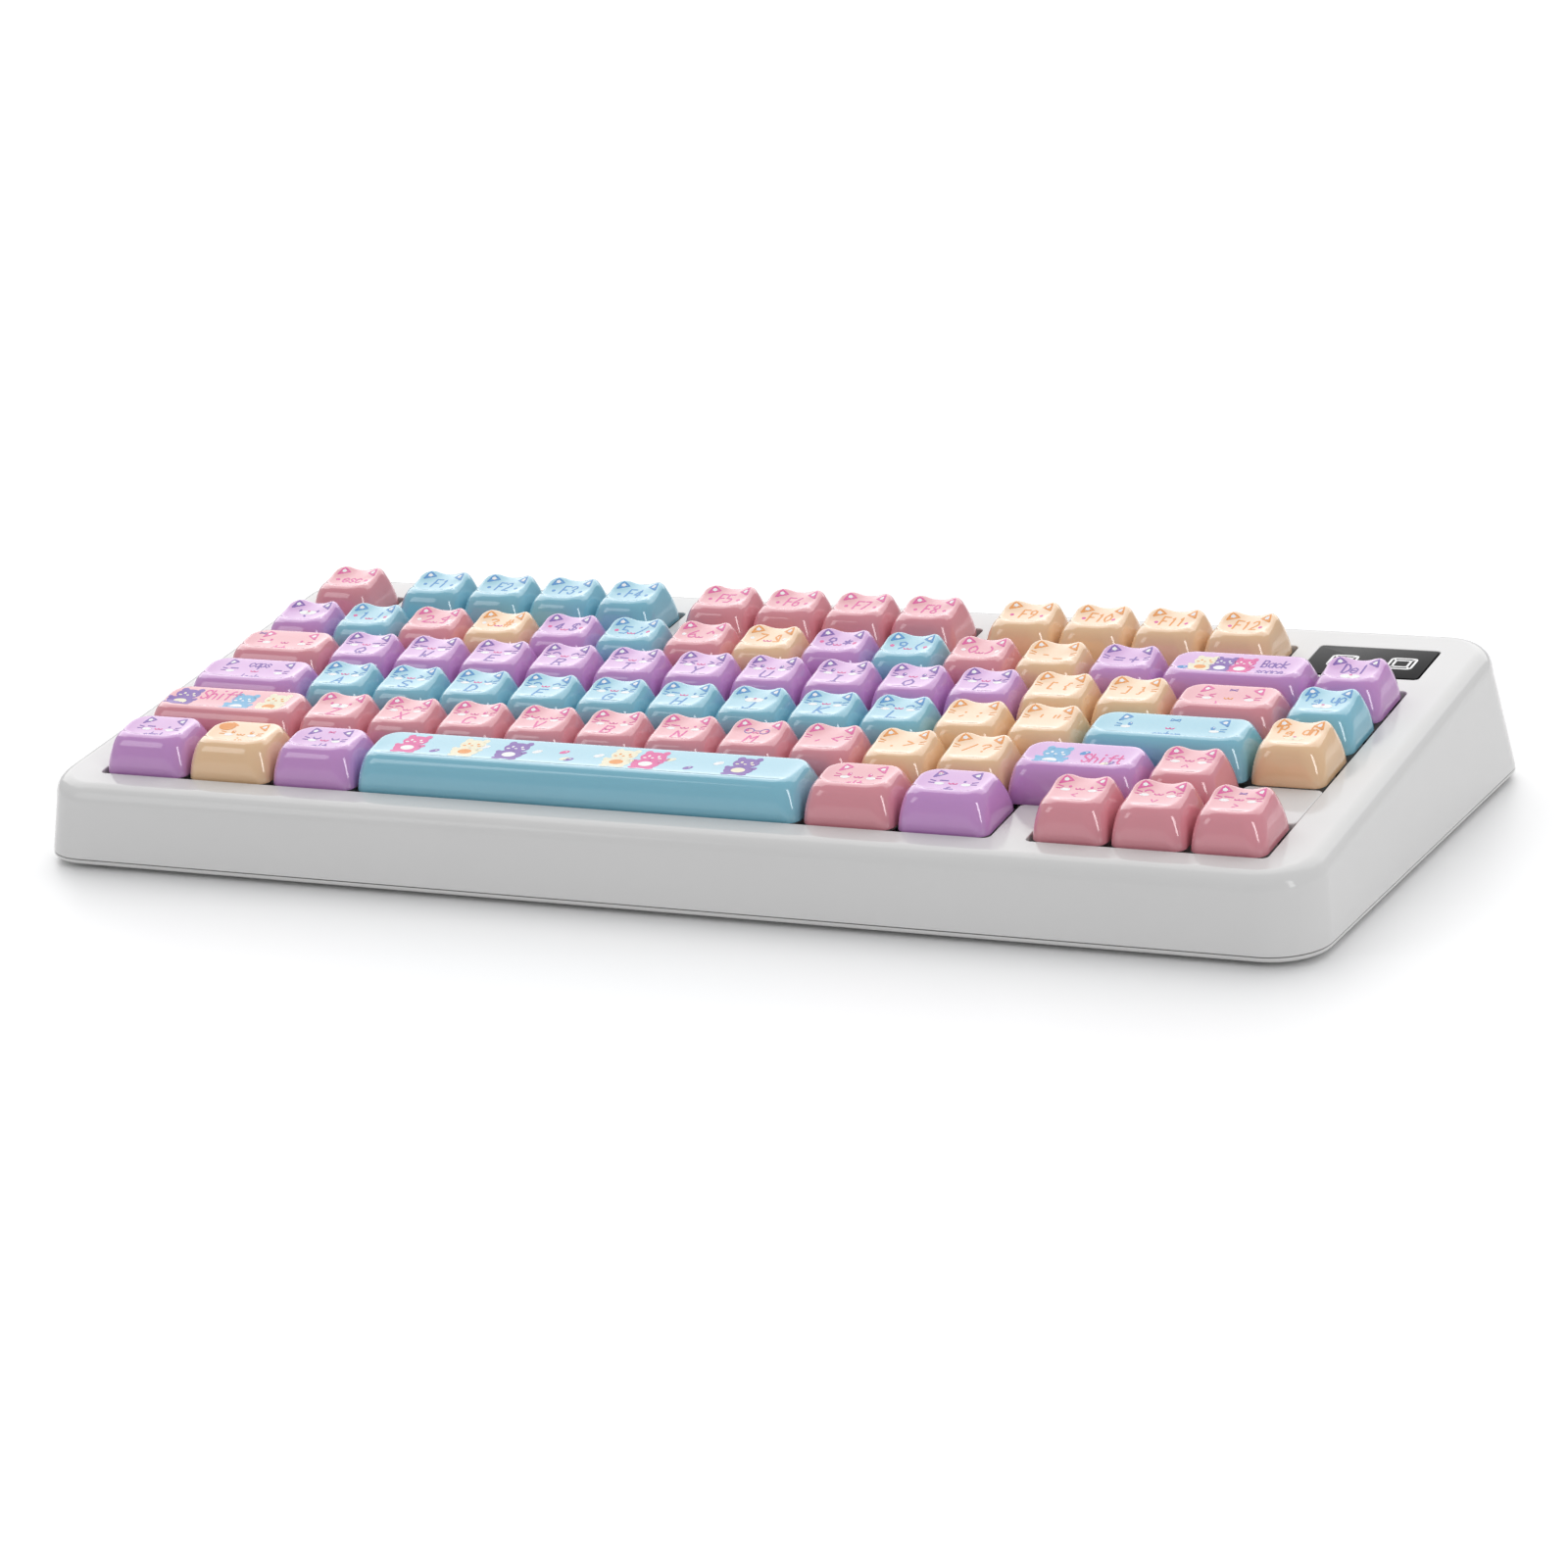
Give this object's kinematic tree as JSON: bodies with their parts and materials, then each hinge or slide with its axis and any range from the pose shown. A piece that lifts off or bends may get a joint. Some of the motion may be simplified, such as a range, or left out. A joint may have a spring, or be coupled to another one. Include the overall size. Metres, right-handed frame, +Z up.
{
  "type": "mechanical keyboard",
  "caption": "Compact mechanical keyboard: sloped glossy two-part case, ear-topped pastel keycaps on switches, folding rear feet, USB inlet and sliding mode switch.",
  "frame": {"origin": "on the desk, under the middle of the case's footprint", "axes": "+X to the typist's right along the rows of keys, +Y away from the typist, +Z up from the desk"},
  "size_m": [0.3338, 0.1522, 0.0429],
  "materials": {
    "case_white": "glossy warm white moulded ABS",
    "cap_purple": "glossy moulded keycap, lilac purple, printed artwork",
    "cap_pink": "glossy moulded keycap, rose pink, printed artwork",
    "cap_blue": "glossy moulded keycap, pale blue, printed artwork",
    "cap_cream": "glossy moulded keycap, cream, printed artwork",
    "badge_black": "satin black plate",
    "steel": "plain steel",
    "plate_white": "satin moulded plate",
    "board_green": "solder mask",
    "switch_black": "moulded switch housing",
    "battery_silver": "foil pouch",
    "rubber_grey": "matt rubber"
  },
  "bodies": {
    "case": {"top_case": "case_white", "bottom_case": "case_white", "switch_plate": "plate_white", "circuit_board": "board_green", "switch_housings": "switch_black", "badge_plate": "badge_black", "blank_insert": "case_white", "battery": "battery_silver", "usb_socket": "steel", "rubber_feet": "rubber_grey"},
    "flip_foot_left": {"flip_foot_left": "case_white"},
    "flip_foot_right": {"flip_foot_right": "case_white"},
    "mode_switch": {"mode_switch": "switch_black"},
    "key_space": {"key_space": "cap_blue"},
    "space_stabiliser": {"space_stabiliser": "steel"},
    "key_enter": {"key_enter": "cap_blue"},
    "key_backspace": {"key_backspace": "cap_purple"},
    "key_left_shift": {"key_left_shift": "cap_pink"},
    "key_right_shift": {"key_right_shift": "cap_purple"},
    "key_tab": {"key_tab": "cap_pink"},
    "key_caps_lock": {"key_caps_lock": "cap_purple"},
    "key_escape": {"key_escape": "cap_pink"},
    "keys_left_down_right": {"keys_left_down_right": "cap_pink"},
    "keys_f1_to_f4": {"keys_f1_to_f4": "cap_blue"},
    "keys_f5_to_f8": {"keys_f5_to_f8": "cap_pink"},
    "keys_f9_to_f12": {"keys_f9_to_f12": "cap_cream"},
    "keys_number_row": {"keys_number_row": "cap_purple"},
    "keys_brackets": {"keys_brackets": "cap_cream"},
    "keys_semicolon_quote": {"keys_semicolon_quote": "cap_cream"},
    "keys_comma_to_slash": {"keys_comma_to_slash": "cap_cream"},
    "keys_delete_and_page": {"keys_delete_and_page": "cap_purple"},
    "keys_left_modifiers": {"keys_left_modifiers": "cap_purple"},
    "keys_right_modifiers": {"keys_right_modifiers": "cap_pink"},
    "key_up": {"key_up": "cap_pink"},
    "key_q": {"key_q": "cap_purple"},
    "key_w": {"key_w": "cap_purple"},
    "key_e": {"key_e": "cap_purple"},
    "key_r": {"key_r": "cap_purple"},
    "key_t": {"key_t": "cap_purple"},
    "key_y": {"key_y": "cap_purple"},
    "key_u": {"key_u": "cap_purple"},
    "key_i": {"key_i": "cap_purple"},
    "key_o": {"key_o": "cap_purple"},
    "key_p": {"key_p": "cap_purple"},
    "key_a": {"key_a": "cap_blue"},
    "key_s": {"key_s": "cap_blue"},
    "key_d": {"key_d": "cap_blue"},
    "key_f": {"key_f": "cap_blue"},
    "key_g": {"key_g": "cap_blue"},
    "key_h": {"key_h": "cap_blue"},
    "key_j": {"key_j": "cap_blue"},
    "key_k": {"key_k": "cap_blue"},
    "key_l": {"key_l": "cap_blue"},
    "key_z": {"key_z": "cap_pink"},
    "key_x": {"key_x": "cap_pink"},
    "key_c": {"key_c": "cap_pink"},
    "key_v": {"key_v": "cap_pink"},
    "key_b": {"key_b": "cap_pink"},
    "key_n": {"key_n": "cap_pink"},
    "key_m": {"key_m": "cap_pink"}
  },
  "joints": [
    {"name": "flip_foot_left_fold", "type": "hinge", "parent": "case", "child": "flip_foot_left", "pos_m": [-0.112, 0.062, 0.0031], "axis": [1, 0, 0], "range_deg": [0, 85]},
    {"name": "flip_foot_right_fold", "type": "hinge", "parent": "case", "child": "flip_foot_right", "pos_m": [0.112, 0.062, 0.0031], "axis": [1, 0, 0], "range_deg": [0, 85]},
    {"name": "mode_switch_slide", "type": "slide", "parent": "case", "child": "mode_switch", "axis": [1, 0, 0], "range_m": [0, 0.006]},
    {"name": "key_space_press", "type": "slide", "parent": "case", "child": "key_space", "axis": [0, 0.1028, -0.9947], "range_m": [0, 0.0038], "stiffness_N_per_m": 75, "springref_m": -0.0047},
    {"name": "space_stabiliser_turn", "type": "hinge", "parent": "case", "child": "space_stabiliser", "pos_m": [-0.02143, -0.06223, 0.01622], "axis": [-1, 0, 0], "range_deg": [0, 20.6]},
    {"name": "key_enter_press", "type": "slide", "parent": "case", "child": "key_enter", "axis": [0, 0.1028, -0.9947], "range_m": [0, 0.0038], "stiffness_N_per_m": 75, "springref_m": -0.0047},
    {"name": "key_backspace_press", "type": "slide", "parent": "case", "child": "key_backspace", "axis": [0, 0.1028, -0.9947], "range_m": [0, 0.0038], "stiffness_N_per_m": 75, "springref_m": -0.0047},
    {"name": "key_left_shift_press", "type": "slide", "parent": "case", "child": "key_left_shift", "axis": [0, 0.1028, -0.9947], "range_m": [0, 0.0038], "stiffness_N_per_m": 75, "springref_m": -0.0047},
    {"name": "key_right_shift_press", "type": "slide", "parent": "case", "child": "key_right_shift", "axis": [0, 0.1028, -0.9947], "range_m": [0, 0.0038], "stiffness_N_per_m": 75, "springref_m": -0.0047},
    {"name": "key_tab_press", "type": "slide", "parent": "case", "child": "key_tab", "axis": [0, 0.1028, -0.9947], "range_m": [0, 0.0038], "stiffness_N_per_m": 75, "springref_m": -0.0047},
    {"name": "key_caps_lock_press", "type": "slide", "parent": "case", "child": "key_caps_lock", "axis": [0, 0.1028, -0.9947], "range_m": [0, 0.0038], "stiffness_N_per_m": 75, "springref_m": -0.0047},
    {"name": "key_escape_press", "type": "slide", "parent": "case", "child": "key_escape", "axis": [0, 0.1028, -0.9947], "range_m": [0, 0.0038], "stiffness_N_per_m": 75, "springref_m": -0.0047},
    {"name": "keys_left_down_right_press", "type": "slide", "parent": "case", "child": "keys_left_down_right", "axis": [0, 0.1028, -0.9947], "range_m": [0, 0.0038], "stiffness_N_per_m": 225, "springref_m": -0.0047},
    {"name": "keys_f1_to_f4_press", "type": "slide", "parent": "case", "child": "keys_f1_to_f4", "axis": [0, 0.1028, -0.9947], "range_m": [0, 0.0038], "stiffness_N_per_m": 300, "springref_m": -0.0047},
    {"name": "keys_f5_to_f8_press", "type": "slide", "parent": "case", "child": "keys_f5_to_f8", "axis": [0, 0.1028, -0.9947], "range_m": [0, 0.0038], "stiffness_N_per_m": 300, "springref_m": -0.0047},
    {"name": "keys_f9_to_f12_press", "type": "slide", "parent": "case", "child": "keys_f9_to_f12", "axis": [0, 0.1028, -0.9947], "range_m": [0, 0.0038], "stiffness_N_per_m": 300, "springref_m": -0.0047},
    {"name": "keys_number_row_press", "type": "slide", "parent": "case", "child": "keys_number_row", "axis": [0, 0.1028, -0.9947], "range_m": [0, 0.0038], "stiffness_N_per_m": 975, "springref_m": -0.0047},
    {"name": "keys_brackets_press", "type": "slide", "parent": "case", "child": "keys_brackets", "axis": [0, 0.1028, -0.9947], "range_m": [0, 0.0038], "stiffness_N_per_m": 225, "springref_m": -0.0047},
    {"name": "keys_semicolon_quote_press", "type": "slide", "parent": "case", "child": "keys_semicolon_quote", "axis": [0, 0.1028, -0.9947], "range_m": [0, 0.0038], "stiffness_N_per_m": 150, "springref_m": -0.0047},
    {"name": "keys_comma_to_slash_press", "type": "slide", "parent": "case", "child": "keys_comma_to_slash", "axis": [0, 0.1028, -0.9947], "range_m": [0, 0.0038], "stiffness_N_per_m": 225, "springref_m": -0.0047},
    {"name": "keys_delete_and_page_press", "type": "slide", "parent": "case", "child": "keys_delete_and_page", "axis": [0, 0.1028, -0.9947], "range_m": [0, 0.0038], "stiffness_N_per_m": 225, "springref_m": -0.0047},
    {"name": "keys_left_modifiers_press", "type": "slide", "parent": "case", "child": "keys_left_modifiers", "axis": [0, 0.1028, -0.9947], "range_m": [0, 0.0038], "stiffness_N_per_m": 225, "springref_m": -0.0047},
    {"name": "keys_right_modifiers_press", "type": "slide", "parent": "case", "child": "keys_right_modifiers", "axis": [0, 0.1028, -0.9947], "range_m": [0, 0.0038], "stiffness_N_per_m": 150, "springref_m": -0.0047},
    {"name": "key_up_press", "type": "slide", "parent": "case", "child": "key_up", "axis": [0, 0.1028, -0.9947], "range_m": [0, 0.0038], "stiffness_N_per_m": 75, "springref_m": -0.0047},
    {"name": "key_q_press", "type": "slide", "parent": "case", "child": "key_q", "axis": [0, 0.1028, -0.9947], "range_m": [0, 0.0038], "stiffness_N_per_m": 75, "springref_m": -0.0047},
    {"name": "key_w_press", "type": "slide", "parent": "case", "child": "key_w", "axis": [0, 0.1028, -0.9947], "range_m": [0, 0.0038], "stiffness_N_per_m": 75, "springref_m": -0.0047},
    {"name": "key_e_press", "type": "slide", "parent": "case", "child": "key_e", "axis": [0, 0.1028, -0.9947], "range_m": [0, 0.0038], "stiffness_N_per_m": 75, "springref_m": -0.0047},
    {"name": "key_r_press", "type": "slide", "parent": "case", "child": "key_r", "axis": [0, 0.1028, -0.9947], "range_m": [0, 0.0038], "stiffness_N_per_m": 75, "springref_m": -0.0047},
    {"name": "key_t_press", "type": "slide", "parent": "case", "child": "key_t", "axis": [0, 0.1028, -0.9947], "range_m": [0, 0.0038], "stiffness_N_per_m": 75, "springref_m": -0.0047},
    {"name": "key_y_press", "type": "slide", "parent": "case", "child": "key_y", "axis": [0, 0.1028, -0.9947], "range_m": [0, 0.0038], "stiffness_N_per_m": 75, "springref_m": -0.0047},
    {"name": "key_u_press", "type": "slide", "parent": "case", "child": "key_u", "axis": [0, 0.1028, -0.9947], "range_m": [0, 0.0038], "stiffness_N_per_m": 75, "springref_m": -0.0047},
    {"name": "key_i_press", "type": "slide", "parent": "case", "child": "key_i", "axis": [0, 0.1028, -0.9947], "range_m": [0, 0.0038], "stiffness_N_per_m": 75, "springref_m": -0.0047},
    {"name": "key_o_press", "type": "slide", "parent": "case", "child": "key_o", "axis": [0, 0.1028, -0.9947], "range_m": [0, 0.0038], "stiffness_N_per_m": 75, "springref_m": -0.0047},
    {"name": "key_p_press", "type": "slide", "parent": "case", "child": "key_p", "axis": [0, 0.1028, -0.9947], "range_m": [0, 0.0038], "stiffness_N_per_m": 75, "springref_m": -0.0047},
    {"name": "key_a_press", "type": "slide", "parent": "case", "child": "key_a", "axis": [0, 0.1028, -0.9947], "range_m": [0, 0.0038], "stiffness_N_per_m": 75, "springref_m": -0.0047},
    {"name": "key_s_press", "type": "slide", "parent": "case", "child": "key_s", "axis": [0, 0.1028, -0.9947], "range_m": [0, 0.0038], "stiffness_N_per_m": 75, "springref_m": -0.0047},
    {"name": "key_d_press", "type": "slide", "parent": "case", "child": "key_d", "axis": [0, 0.1028, -0.9947], "range_m": [0, 0.0038], "stiffness_N_per_m": 75, "springref_m": -0.0047},
    {"name": "key_f_press", "type": "slide", "parent": "case", "child": "key_f", "axis": [0, 0.1028, -0.9947], "range_m": [0, 0.0038], "stiffness_N_per_m": 75, "springref_m": -0.0047},
    {"name": "key_g_press", "type": "slide", "parent": "case", "child": "key_g", "axis": [0, 0.1028, -0.9947], "range_m": [0, 0.0038], "stiffness_N_per_m": 75, "springref_m": -0.0047},
    {"name": "key_h_press", "type": "slide", "parent": "case", "child": "key_h", "axis": [0, 0.1028, -0.9947], "range_m": [0, 0.0038], "stiffness_N_per_m": 75, "springref_m": -0.0047},
    {"name": "key_j_press", "type": "slide", "parent": "case", "child": "key_j", "axis": [0, 0.1028, -0.9947], "range_m": [0, 0.0038], "stiffness_N_per_m": 75, "springref_m": -0.0047},
    {"name": "key_k_press", "type": "slide", "parent": "case", "child": "key_k", "axis": [0, 0.1028, -0.9947], "range_m": [0, 0.0038], "stiffness_N_per_m": 75, "springref_m": -0.0047},
    {"name": "key_l_press", "type": "slide", "parent": "case", "child": "key_l", "axis": [0, 0.1028, -0.9947], "range_m": [0, 0.0038], "stiffness_N_per_m": 75, "springref_m": -0.0047},
    {"name": "key_z_press", "type": "slide", "parent": "case", "child": "key_z", "axis": [0, 0.1028, -0.9947], "range_m": [0, 0.0038], "stiffness_N_per_m": 75, "springref_m": -0.0047},
    {"name": "key_x_press", "type": "slide", "parent": "case", "child": "key_x", "axis": [0, 0.1028, -0.9947], "range_m": [0, 0.0038], "stiffness_N_per_m": 75, "springref_m": -0.0047},
    {"name": "key_c_press", "type": "slide", "parent": "case", "child": "key_c", "axis": [0, 0.1028, -0.9947], "range_m": [0, 0.0038], "stiffness_N_per_m": 75, "springref_m": -0.0047},
    {"name": "key_v_press", "type": "slide", "parent": "case", "child": "key_v", "axis": [0, 0.1028, -0.9947], "range_m": [0, 0.0038], "stiffness_N_per_m": 75, "springref_m": -0.0047},
    {"name": "key_b_press", "type": "slide", "parent": "case", "child": "key_b", "axis": [0, 0.1028, -0.9947], "range_m": [0, 0.0038], "stiffness_N_per_m": 75, "springref_m": -0.0047},
    {"name": "key_n_press", "type": "slide", "parent": "case", "child": "key_n", "axis": [0, 0.1028, -0.9947], "range_m": [0, 0.0038], "stiffness_N_per_m": 75, "springref_m": -0.0047},
    {"name": "key_m_press", "type": "slide", "parent": "case", "child": "key_m", "axis": [0, 0.1028, -0.9947], "range_m": [0, 0.0038], "stiffness_N_per_m": 75, "springref_m": -0.0047}
  ],
  "couplings": [
    {"joint": "space_stabiliser_turn", "follows": "key_space_press", "rad_per_m": 92.822}
  ]
}
